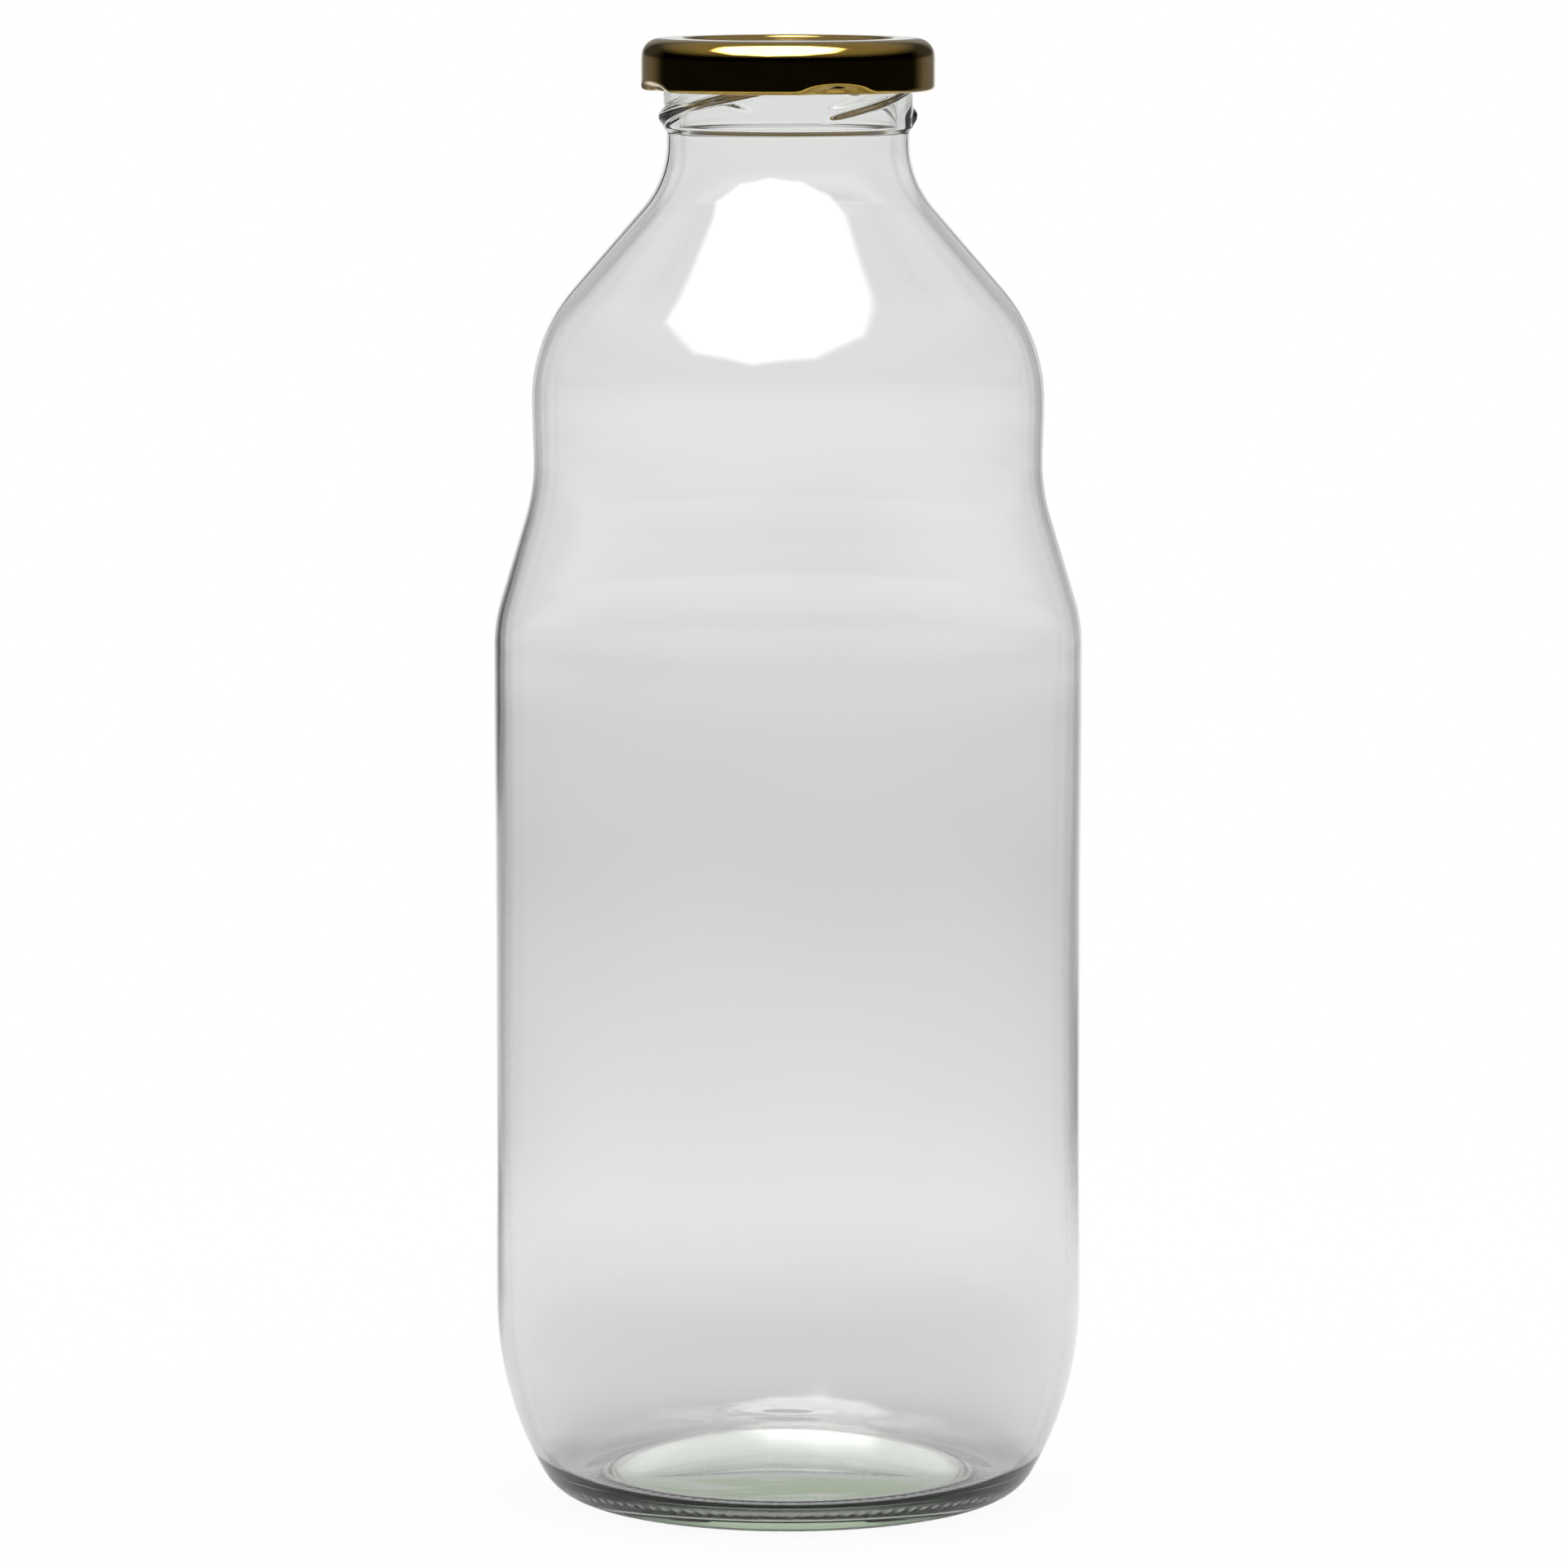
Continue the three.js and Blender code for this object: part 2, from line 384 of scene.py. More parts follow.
@dataclass(frozen=True)
class GoldLacquer:
    """Bright tinplate under a stoved gold lacquer.

    The eye sees a mirror-like metal with a deep yellow cast, a fine rolled grain in its reflections, and a
    slightly uneven film, as thick lacquer gathers in the hollows.
    """

    sheen: Sheen
    thin: str = "#C2A24C"  # where the film is thin
    thick: str = "#A9842F"  # where it gathers
    grain: float = 0.9  # spacing of the rolling lines, drawn coarser than real so that they show
    film: float = 5.0  # size of the patches of film
    grain_depth: float = 0.002
    film_depth: float = 0.01
    coat: float = 0.35
    coat_roughness: float = 0.04
    coat_ior: float = 1.5  # of a stoved lacquer

    def make(self) -> bpy.types.Material:
        """Builds the material.

        Returns:
            The lacquered tinplate.
        """
        metal = bpy.data.materials.new(f"gold_lacquered_tinplate_{self.sheen.name.lower()}")
        tree = clean_tree(metal)
        where = place(tree, "ShaderNodeTexCoord").outputs["Object"]
        film = place(tree, "ShaderNodeTexNoise", None, {"Vector": where, "Scale": 1 / (self.film * MM), "Detail": 2.0})
        tint = place(
            tree,
            "ShaderNodeMix",
            COLOURS,
            {"Factor": film.outputs[0], "A": linear(self.thin), "B": linear(self.thick)},
        )
        drawn = place(tree, "ShaderNodeMapping", None, {"Vector": where, "Scale": (1 / (self.grain * MM), 60.0, 60.0)})
        rolled = place(
            tree,
            "ShaderNodeTexNoise",
            None,
            {"Vector": drawn.outputs[0], "Scale": 1.0, "Detail": 4.0, "Roughness": 0.7},
        )
        gloss = self.sheen.value
        rough = place(tree, "ShaderNodeMapRange", None, span(rolled.outputs[0], 0.3, 0.7, gloss * 0.8, gloss * 1.3))
        lines = place(
            tree,
            "ShaderNodeBump",
            None,
            {"Height": rolled.outputs[0], "Strength": 0.3, "Distance": self.grain_depth * MM},
        )
        skin = place(
            tree,
            "ShaderNodeBump",
            None,
            {
                "Height": film.outputs[0],
                "Strength": 0.3,
                "Distance": self.film_depth * MM,
                "Normal": lines.outputs[0],
            },
        )
        shell = place(
            tree,
            "ShaderNodeBsdfPrincipled",
            None,
            {
                "Base Color": tint.outputs["Result"],
                "Metallic": 1.0,
                "Roughness": rough.outputs[0],
                "Normal": skin.outputs[0],
                "Coat Weight": self.coat,
                "Coat Roughness": self.coat_roughness,
                "Coat IOR": self.coat_ior,
            },
        )
        place(tree, "ShaderNodeOutputMaterial", None, {"Surface": shell.outputs[0]})
        return metal


@dataclass(frozen=True)
class SealCompound:
    """Soft PVC sealing compound, flowed in as a paste and stoved.

    The eye sees an off-white, slightly waxy ring with a faint orange peel.
    """

    colour: str = "#E4DFD0"
    shade: str = "#D3CCB8"
    peel: float = 0.7  # size of the orange peel
    peel_depth: float = 0.04
    cloud: float = 6.0  # size of the uneven patches of colour
    ior: float = 1.53

    def make(self) -> bpy.types.Material:
        """Builds the material.

        Returns:
            The sealing compound.
        """
        paste = bpy.data.materials.new("pvc_sealing_compound")
        tree = clean_tree(paste)
        where = place(tree, "ShaderNodeTexCoord").outputs["Object"]
        peel = place(tree, "ShaderNodeTexNoise", None, {"Vector": where, "Scale": 1 / (self.peel * MM), "Detail": 3.0})
        cloud = place(
            tree, "ShaderNodeTexNoise", None, {"Vector": where, "Scale": 1 / (self.cloud * MM), "Detail": 2.0}
        )
        tint = place(
            tree,
            "ShaderNodeMix",
            COLOURS,
            {"Factor": cloud.outputs[0], "A": linear(self.colour), "B": linear(self.shade)},
        )
        rough = place(tree, "ShaderNodeMapRange", None, span(peel.outputs[0], 0.0, 1.0, 0.42, 0.62))
        bump = place(
            tree,
            "ShaderNodeBump",
            None,
            {"Height": peel.outputs[0], "Strength": 0.5, "Distance": self.peel_depth * MM},
        )
        shell = place(
            tree,
            "ShaderNodeBsdfPrincipled",
            None,
            {
                "Base Color": tint.outputs["Result"],
                "Roughness": rough.outputs[0],
                "IOR": self.ior,
                "Normal": bump.outputs[0],
                "Subsurface Weight": 0.15,
                "Subsurface Radius": (1.0, 0.8, 0.6),
                "Subsurface Scale": 0.4 * MM,
            },
        )
        place(tree, "ShaderNodeOutputMaterial", None, {"Surface": shell.outputs[0]})
        return paste


# ---------------------------------------------------------------- bottle


@dataclass
class HelicalRidges:
    """The four ridges on the finish that the cap's lugs hook under."""

    count: int = 4
    lead: float = 26.5  # rise in one turn
    height: float = 0.8  # how far they stand out
    foot: float = 2.8  # width at the wall
    crest: float = 0.9  # width at the top
    start: float = 5.0  # degrees from the front to where the first helix is at its low height
    arc: float = 114.8  # degrees from there to where the ridge ends
    late: float = 10.0  # degrees by which the front and back ridges start after that
    early: float = 13.0  # degrees by which the side ridges start before it
    taper: float = 13.0  # degrees over which an end runs out
    low: float = 217.18

    def proud(self, angle: float, height: float) -> float:
        """How far the nearest ridge stands out of the finish.

        Args:
            angle: Degrees from the front.
            height: Height above the floor.

        Returns:
            Millimetres.
        """
        best = 0.0
        for number in range(self.count):
            start = self.start + number * 360 / self.count - self.early
            along = (angle - start) % 360 - self.early
            low_end = self.late if number % 2 == 0 else -self.early
            if low_end < along < self.arc:
                off = abs(height - self.low - along / 360 * self.lead)
                flank = 1 - smooth(off, self.crest / 2 * 0.6, self.foot / 2)
                fade = smooth(min(along - low_end, self.arc - along), 0.0, self.taper)
                best = max(best, flank * fade)
        return best * self.height


@dataclass
class GlassBottle:
    """The bottle, one closed skin of glass from the middle of its base up, over the rim and down inside."""

    body: float = 46.0
    wall: float = 1.87
    heel_height: float = 31.0
    heel_sweep: float = 54.0
    heel_fillet: float = 8.0
    inner_sweep: float = 56.0
    inner_fillet: float = 7.5
    bearing: float = 3.6
    recess: float = 2.0
    recess_depth: float = 1.3
    push_up: float = 4.5
    base: float = 3.8
    floor_edge: float = 3.4
    hip: float = 134.5
    hip_curve: float = 25.0
    flare: float = 16.8
    waist_inset: float = 6.25
    waist_curve: float = 30.0
    bulge: float = 0.25
    bulge_rise: float = 9.8
    shoulder_curve: float = 26.0
    shoulder_slope: float = 41.0
    neck_curve: float = 16.0
    bore: float = 17.0
    finish_wall: float = 2.4
    finish_height: float = 12.7
    neck_length: float = 2.1
    panel_depth: float = 0.12
    panel_foot: tuple[float, float] = (5.0, 25.0)  # where the wall sinks in to the label panel, above the heel
    panel_head: tuple[float, float] = (42.0, 10.0)  # where it comes out again, below the hip
    step_round: float = 0.6  # height of the small hollow under the finish
    rim_outer: float = 1.0
    rim_inner: float = 0.8
    uneven: float = 0.11  # how far the blown inside wanders
    uneven_fine: float = 0.03
    seam: float = 0.05  # how far the mould's parting line stands out
    stipple: float = 0.42  # depth of the gaps between the knurls on the bearing ring
    knurl_out: float = 0.9  # how far the knurls' middle lies outside the ring's
    knurl_past: float = 1.2  # how far they reach past the ring on each side
    ridges: HelicalRidges = field(default_factory=HelicalRidges)

    def levels(self) -> tuple[float, float, float]:
        """Heights of the waist, the bulge and the top of the neck's curve.

        Returns:
            The three heights.
        """

        def rise(outer: float, first: float, inner: float, second: float, angle: float) -> float:
            """Height of a slope between two curves that it touches."""
            turn = math.radians(angle)
            return (first + second) * math.sin(turn) + (
                outer - inner - (first + second) * (1 - math.cos(turn))
            ) / math.tan(turn)

        waist_radius = self.body - self.waist_inset
        waist = self.hip + rise(self.body, self.hip_curve, waist_radius, self.waist_curve, self.flare)
        bulge = waist + self.bulge_rise
        neck = bulge + rise(
            waist_radius + self.bulge,
            self.shoulder_curve,
            self.bore + self.wall,
            self.neck_curve,
            self.shoulder_slope,
        )
        return waist, bulge, neck

    def _slope_end(self, centre: float, height: float, curve: float, angle: float) -> tuple[float, float]:
        """The point of a circle at an angle, which is where a slope meets a curve."""
        turn = math.radians(angle)
        return centre + curve * math.cos(turn), height + curve * math.sin(turn)

    def _heel(self, wall_radius: float, sweep: float, fillet: float, level: float) -> tuple[float, float, float]:
        """Works out the heel's long curve and its fillet.

        Args:
            wall_radius: Radius of the wall above.
            sweep: Radius of the long curve.
            fillet: Radius of the fillet.
            level: Height that the fillet ends at.

        Returns:
            Each centre's distance from the axis, and the angle at which the two meet.
        """
        sweep_x = wall_radius - sweep
        drop = self.heel_height - level - fillet
        fillet_x = sweep_x + math.sqrt((sweep - fillet) ** 2 - drop**2)
        return sweep_x, fillet_x, -math.degrees(math.asin(drop / (sweep - fillet)))

    def _dome(self, edge: float, height: float, rise: float) -> tuple[float, float]:
        """Centre height and half angle of a shallow dome on the axis."""
        radius = (edge**2 + rise**2) / (2 * rise)
        return height + rise - radius, math.degrees(math.asin(edge / radius))

    def draw_outside(self, pen: SectionPen) -> None:
        """Draws the outer wall, from the middle of the base to the rim.

        Args:
            pen: The pen, at the middle of the base.
        """
        waist, bulge, neck = self.levels()
        sweep_x, fillet_x, meet = self._heel(self.body, self.heel_sweep, self.heel_fillet, 0.0)
        recess_top = fillet_x - self.bearing
        edge = recess_top - self.recess
        centre, half = self._dome(edge, self.recess_depth, self.push_up - self.recess_depth)
        pen.arc(0, centre, -half, 10)
        pen.ease_to(recess_top, 0.0, upright=False, steps=6)
        pen.line_to(fillet_x, 0.0, steps=6)
        pen.arc(fillet_x, self.heel_fillet, meet + 90, 9)
        pen.arc(sweep_x, self.heel_height, -meet, 12)
        panel = self.body - self.panel_depth
        pen.line_to(self.body, self.heel_height + self.panel_foot[0], steps=2)
        pen.ease_to(panel, self.heel_height + self.panel_foot[1], upright=True, steps=10)
        pen.line_to(panel, self.hip - self.panel_head[0], steps=5)
        pen.ease_to(self.body, self.hip - self.panel_head[1], upright=True, steps=14)
        pen.line_to(self.body, self.hip, steps=3)
        waist_radius = self.body - self.waist_inset
        bulge_radius = waist_radius + self.bulge
        neck_radius = self.bore + self.wall
        pen.arc(self.body - self.hip_curve, self.hip, self.flare, 8)
        pen.line_to(*self._slope_end(waist_radius + self.waist_curve, waist, self.waist_curve, 180 + self.flare), 3)
        pen.arc(waist_radius + self.waist_curve, waist, -self.flare, 8)
        pen.ease_to(bulge_radius, bulge, upright=True, steps=7)
        pen.arc(bulge_radius - self.shoulder_curve, bulge, self.shoulder_slope, 14)
        lean = 180 + self.shoulder_slope
        pen.line_to(*self._slope_end(neck_radius + self.neck_curve, neck, self.neck_curve, lean), 3)
        pen.arc(neck_radius + self.neck_curve, neck, -self.shoulder_slope, 14)
        step = neck + self.neck_length
        rim = step + self.finish_height
        finish = self.bore + self.finish_wall
        pen.line_to(neck_radius, step - self.step_round, steps=2)
        pen.arc(neck_radius + 0.25, step - self.step_round, -60, 3)
        pen.ease_to(finish, step + 0.25, upright=True, steps=4)
        pen.line_to(finish, rim - self.rim_outer, steps=40)
        pen.arc(finish - self.rim_outer, rim - self.rim_outer, 90, 7)

    def draw_inside(self, pen: SectionPen) -> None:
        """Draws the inner wall, from the rim to the middle of the base.

        Args:
            pen: The pen, on the rim.
        """
        waist, bulge, neck = self.levels()
        rim = neck + self.neck_length + self.finish_height
        waist_radius = self.body - self.waist_inset
        bulge_radius = waist_radius + self.bulge
        neck_radius = self.bore + self.wall
        pen.line_to(self.bore + self.rim_inner, rim, steps=2)
        pen.side = Side.INNER
        pen.arc(self.bore + self.rim_inner, rim - self.rim_inner, 90, 6)
        pen.line_to(self.bore, neck, steps=8)
        pen.arc(neck_radius + self.neck_curve, neck, self.shoulder_slope, 12)
        shoulder = self.shoulder_curve - self.wall
        pen.line_to(*self._slope_end(bulge_radius - self.shoulder_curve, bulge, shoulder, self.shoulder_slope), 3)
        pen.arc(bulge_radius - self.shoulder_curve, bulge, -self.shoulder_slope, 12)
        pen.ease_to(waist_radius - self.wall, waist, upright=True, steps=6)
        pen.arc(waist_radius + self.waist_curve, waist, self.flare, 7)
        hip = self.hip_curve - self.wall
        pen.line_to(*self._slope_end(self.body - self.hip_curve, self.hip, hip, self.flare), 3)
        pen.arc(self.body - self.hip_curve, self.hip, -self.flare, 7)
        pen.line_to(self.body - self.wall, self.heel_height, steps=10)
        sweep_x, fillet_x, meet = self._heel(
            self.body - self.wall, self.inner_sweep, self.inner_fillet, self.floor_edge
        )
        pen.arc(sweep_x, self.heel_height, meet, 10)
        pen.arc(fillet_x, self.floor_edge + self.inner_fillet, -90 - meet, 8)
        centre, half = self._dome(fillet_x, self.floor_edge, self.push_up + self.base - self.floor_edge)
        pen.arc(0, centre, half, 12)

    def moulded(self, layer: bmesh.types.BMLayerItem) -> Callable[[bmesh.types.BMVert, float, float, float], float]:
        """Gives the moves that turn the plain skin into moulded glass: ridges, parting lines and an uneven inside.

        Args:
            layer: The layer that says which wall a point is on.

        Returns:
            A function for shift_radius.
        """
        finish = self.bore + self.finish_wall
        _, _, neck = self.levels()

        def move(vert: bmesh.types.BMVert, angle: float, radius: float, height: float) -> float:
            """Finds the move for one point.

            Args:
                vert: The point, for the wall that it is on.
                angle: Degrees from the front.
                radius: Distance from the axis.
                height: Height above the floor.

            Returns:
                Millimetres outwards.
            """
            turn = math.radians(angle)
            if vert[layer] > 0.5:
                fade = smooth(height, 9, 30) * (1 - smooth(height, neck - 6, neck + 4))
                lean = 0.5 * math.cos(2 * turn + 0.9) + 0.3 * math.cos(3 * turn - height / 37)
                return fade * (self.uneven * lean + self.uneven_fine * math.cos(7 * turn + height / 16))
            if height > neck + self.neck_length:
                return self.ridges.proud(angle, height) if radius > finish - 0.01 else 0.0
            across = abs((angle % 180) - 90) * math.radians(1) * radius
            line = math.exp(-((across / 0.5) ** 2)) * smooth(height, 1.5, 5) * (1 - smooth(height, neck, neck + 2))
            return self.seam * line

        return move

    def knurl(self, mesh: bmesh.types.BMesh) -> None:
        """Raises the gaps between the knurls on the bearing ring off the floor.

        Args:
            mesh: The turned skin.
        """
        _, outer, _ = self._heel(self.body, self.heel_sweep, self.heel_fillet, 0.0)
        middle = outer - self.bearing / 2 + self.knurl_out
        for vert in mesh.verts:
            radius = math.hypot(vert.co.x, vert.co.y) / MM
            across = abs(radius - middle) / (self.bearing / 2 + self.knurl_past)
            if across < 1 and vert.co.z < 0.9 * MM:  # the skin under the glass, and not the floor inside
                turn = math.atan2(vert.co.x, -vert.co.y)
                gap = 0.5 - 0.5 * math.cos(turn * COLUMNS / 3)
                vert.co.z += self.stipple * MM * gap * (1 - smooth(across, 0.45, 1))

    def build(self) -> bpy.types.Object:
        """Makes the bottle.

        Returns:
            The finished piece, riding on its body.
        """
        pen = SectionPen(0.0, self.push_up)
        self.draw_outside(pen)
        self.draw_inside(pen)
        layer = pen.side_layer
        mesh = pen.turn()
        shift_radius(mesh, self.moulded(layer))
        self.knurl(mesh)
        piece = finish_piece(mesh, "moulded_bottle", [FlintGlass().make()])
        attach(piece, "bottle")
        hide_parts("glass_bottle")
        return piece


# ---------------------------------------------------------------- cap


@dataclass
class TwistOffCap:
    """The cap, one sheet of tinplate drawn to a cup, with a rolled edge pressed in to make the lugs."""

    top: float  # height of its highest ring
    radius: float = 22.9
    height: float = 8.1
    sheet: float = 0.22  # thickness of the tinplate
    corner: float = 3.0
    recess: float = 0.5  # how far the middle lies below the raised ring
    dish: float = 0.1  # and how much further its centre sinks
    ring: float = 16.5  # inner edge of the raised ring
    slope: float = 0.9  # width of the slope up to it
    curl: float = 0.8  # radius of the rolled edge
    curl_turn: float = 250.0  # degrees that it is rolled through
    lugs: int = 4
    lug_angle: float = 19.71  # degrees from the front to the first lug's middle
    lug_half: float = 17.0  # degrees from there to its end
    lug_flat: float = 0.35  # share of a lug that is pressed in fully
    lug_rise: float = 1.8  # height of the dimple in the skirt
    lug_depth: float = 1.6

    def pressed(self, _vert: bmesh.types.BMVert, angle: float, radius: float, height: float) -> float:
        """How far a lug moves a point: the rolled edge's inner half wholly, the skirt less and less up to an arch.

        Args:
            angle: Degrees from the front.
            radius: Distance from the axis.
            height: Height above the floor.

        Returns:
            Millimetres outwards, so never above 0.
        """
        bottom = self.top - self.height
        if height > bottom + 2 * self.curl + self.sheet or radius < self.radius - 2.5 * self.curl:
            return 0.0
        spacing = 360 / self.lugs
        off = abs((angle - self.lug_angle + spacing / 2) % spacing - spacing / 2)
        up = (height - bottom) / self.lug_rise if radius > self.radius - self.curl else 0.0
        away = math.hypot(off / self.lug_half, up)
        return -self.lug_depth * (1 - smooth(away, self.lug_flat, 1.0))

    def build(self) -> bpy.types.Object:
        """Makes the cap.

        Returns:
            The finished piece, riding on its body.
        """
        bottom = self.top - self.height
        pen = SectionPen(0.0, self.top - self.recess - self.dish)
        pen.ease_to(self.ring - self.slope - 1.2, self.top - self.recess, upright=False, steps=9)
        pen.line_to(self.ring - self.slope, self.top - self.recess, steps=2)
        pen.ease_to(self.ring, self.top, upright=False, steps=7)
        pen.line_to(self.radius - self.corner, self.top, steps=5)
        pen.arc(self.radius - self.corner, self.top - self.corner, -90, 10)
        pen.line_to(self.radius, bottom + self.curl, steps=22)
        pen.arc(self.radius - self.curl, bottom + self.curl, -self.curl_turn, 22)
        mesh = pen.turn()
        shift_radius(mesh, self.pressed)
        outside = self._point_out(mesh)
        skin = bmesh.ops.solidify(mesh, geom=outside, thickness=self.sheet * MM)
        for face in skin["geom"]:
            if isinstance(face, bmesh.types.BMFace):
                face.material_index = 1
        materials = [GoldLacquer(Sheen.OUTSIDE_GLOSS).make(), GoldLacquer(Sheen.INSIDE_SATIN).make()]
        piece = finish_piece(mesh, "pressed_cap", materials)
        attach(piece, "cap")
        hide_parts("cap_shell")
        return piece

    def _point_out(self, mesh: bmesh.types.BMesh) -> list[bmesh.types.BMFace]:
        """Turns the open sheet's faces so that its top panel looks up.

        Args:
            mesh: The turned sheet.

        Returns:
            Its faces.
        """
        middle = max(mesh.faces, key=lambda face: -face.calc_center_median().xy.length)
        if middle.normal.z < 0:
            bmesh.ops.reverse_faces(mesh, faces=mesh.faces)
        return mesh.faces[:]


@dataclass
class SealingRing:
    """The ring of sealing compound in the cap's channel."""

    low: tuple[float, float, float]
    high: tuple[float, float, float]
    bore: float = 16.5
    edge: float = 0.25
    lip: float = 1.5  # from each side to the mark
    groove: float = 0.06  # depth of the mark that the rim leaves
    draft: float = 0.1  # how far the inner edge leans out at the top

    def build(self) -> bpy.types.Object:
        """Makes the ring.

        Returns:
            The finished piece, riding on its body.
        """
        outer, bottom, top = self.high[0] / MM, self.low[2] / MM, self.high[2] / MM
        edge = self.edge
        pen = SectionPen(self.bore + edge, bottom)
        pen.ease_to(self.bore + self.lip, bottom + self.groove, upright=False, steps=5)
        pen.line_to(outer - self.lip, bottom + self.groove, steps=3)
        pen.ease_to(outer - edge, bottom, upright=False, steps=5)
        pen.arc(outer - edge, bottom + edge, 90, 5)
        pen.line_to(outer, top - edge, steps=2)
        pen.arc(outer - edge, top - edge, 90, 5)
        pen.line_to(self.bore + edge + self.draft, top, steps=6)
        pen.arc(self.bore + edge + self.draft, top - edge, 90, 5)
        pen.line_to(self.bore, bottom + edge, steps=2)
        pen.arc(self.bore + edge, bottom + edge, 90, 5)
        piece = finish_piece(pen.turn(), "cast_sealing_ring", [SealCompound().make()])
        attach(piece, "lift")
        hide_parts("sealing_ring")
        return piece


# ---------------------------------------------------------------- studio


@dataclass(frozen=True)
class Studio:
    """A pale floor and an even white surround, with one eight-sided soft light above the front.

    Directions in the surround are told by their radians round from straight behind the bottle and by the share of
    them that points up. The floor's sizes are in metres. A tone of 1 is white.
    """

    softbox_aim: tuple[float, float, float] = (-0.115, -0.35, 0.93)
    softbox_size: float = 0.78  # half its width over its distance
    softbox_edge: float = 0.24  # how much of that fades out
    softbox_power: float = 14.0
    softbox_roll: float = 6.0  # degrees
    inner_size: float = 0.58  # the same light as it comes through the glass
    inner_power: float = 7.0

    backdrop: Span = (0.15, 0.45, 1.0, 0.2)  # the white paper behind, which fades to its dim edges
    wings: Span = (0.75, 1.15, 1.0, 0.04)  # those edges, which end at the dark room
    head: Span = (0.0, 0.1, 1.0, 0.3)  # the backdrop's upper part
    ceiling: Span = (0.3, 0.75, 0.0, 0.35)

    shown: float = 0.65  # tone of the surround through the glass
    patches: tuple[tuple[float, float, float], ...] = (
        (-0.165, -0.119, 0.12),
        (-0.119, -0.074, -0.18),
        (-0.08, -0.06, 0.07),
        (-0.05, 0.1, -0.1),
        (0.15, 0.4, 0.25),
    )  # from, to, and how much paler it is below that
    flag_turn: float = 22.5  # degrees from straight behind to a dark flag
    flag: Span = (0.03, 0.13, 0.8, 1.0)
    room: Span = (0.5, 1.6, 1.0, 0.85)
    matt: Span = (-1.0, 1.0, 0.8, 1.1)  # what lights matt faces, which is a little stronger from above

    floor_radius: float = 0.42
    painted_shadow_tone: float = 0.52  # painted shadow: tone of the floor through the glass, next to the bottle
    painted_shadow_near: Span = (0.035, 0.11, 0.0, 0.13)  # how much the painted shadow pales further out
    painted_shadow_far: Span = (0.13, 0.27, 0.0, 0.24)
    # painted shade: the floor through the glass is darker towards the front
    front_painted_shade: Span = (-0.1, -0.05, 0.9, 1.0)
    contact_radius: float = 0.035
    contact: Span = (0.003, 0.009, 0.75, 1.0)  # the thin shadow under the bearing ring
    cast: str = "#9AAC8B"  # painted green cast: the glass's light and shade painted on the floor under the raised base
    cast_reach: Span = (0.02, 0.029, 0.0, 1.0)
    painted_gleam: Span = (0.48, 0.62, 0.0, 0.8)  # painted bright caustic patches that break the painted cast
    painted_gleam_size: float = 0.016
    floor_through: float = 0.8  # share of the floor's painted tone that glows, not lit, through the glass
    floor_seen: float = 0.93  # the same, seen straight

    lens: float = 193.9
    sensor: float = 36.0
    shift: tuple[float, float] = (-5 / FRAME, -2 / FRAME)
    eye: tuple[float, float, float] = (0.0, -1.316, 0.2695)
    tip: float = 6.79  # degrees that it looks down

    def light(self) -> None:
        """Builds the world.

        Lamps aren't needed: what is matt is lit evenly by the white surround. Polished metal and glass show the
        same surround with a dark room on the near side, as in any studio, and with the soft light in it.
        """
        world = bpy.data.worlds.new("studio_surround")
        bpy.context.scene.world = world
        world.cycles.sampling_method = "NONE"  # each kind of ray sees its own surround, so it isn't sampled as a lamp
        tree = clean_tree(world)
        path = place(tree, "ShaderNodeLightPath")
        way = place(tree, "ShaderNodeTexCoord").outputs["Generated"]
        axes = place(tree, "ShaderNodeSeparateXYZ", None, {0: way})
        up = axes.outputs["Z"]
        round_ = place(tree, "ShaderNodeMath", {"operation": "ARCTAN2"}, {0: axes.outputs["X"], 1: axes.outputs["Y"]})
        off_back = place(tree, "ShaderNodeMath", UNSIGNED, {0: round_.outputs[0]}).outputs[0]
        studio = place(
            tree,
            "ShaderNodeMix",
            FLOATS,
            {
                "Factor": path.outputs["Transmission Depth"],
                "A": self._mirrored(tree, off_back, up),
                "B": self._through(tree, off_back, up),
            },
        )
        reach = self._softbox(tree, way)
        boxes = [
            place(tree, "ShaderNodeMapRange", SOFT, span(reach, size - self.softbox_edge, size, power, 0.0))
            for size, power in ((self.softbox_size, self.softbox_power), (self.inner_size, self.inner_power))
        ]
        box = place(
            tree,
            "ShaderNodeMix",
            FLOATS,
            {"Factor": path.outputs["Transmission Depth"], "A": boxes[0].outputs[0], "B": boxes[1].outputs[0]},
        )
        lit = place(tree, "ShaderNodeMath", PLUS, {0: studio.outputs[0], 1: box.outputs[0]})
        even = place(tree, "ShaderNodeMapRange", None, span(up, *self.matt))
        matt = place(
            tree,
            "ShaderNodeMix",
            FLOATS,
            {"Factor": path.outputs["Diffuse Depth"], "A": lit.outputs[0], "B": even.outputs[0]},
        )
        seen = place(
            tree,
            "ShaderNodeMix",
            FLOATS,
            {"Factor": path.outputs["Is Camera Ray"], "A": matt.outputs[0], "B": 1.0},
        )
        sky = place(tree, "ShaderNodeBackground", None, {"Color": seen.outputs[0], "Strength": 1.0})
        place(tree, "ShaderNodeOutputWorld", None, {"Surface": sky.outputs[0]})

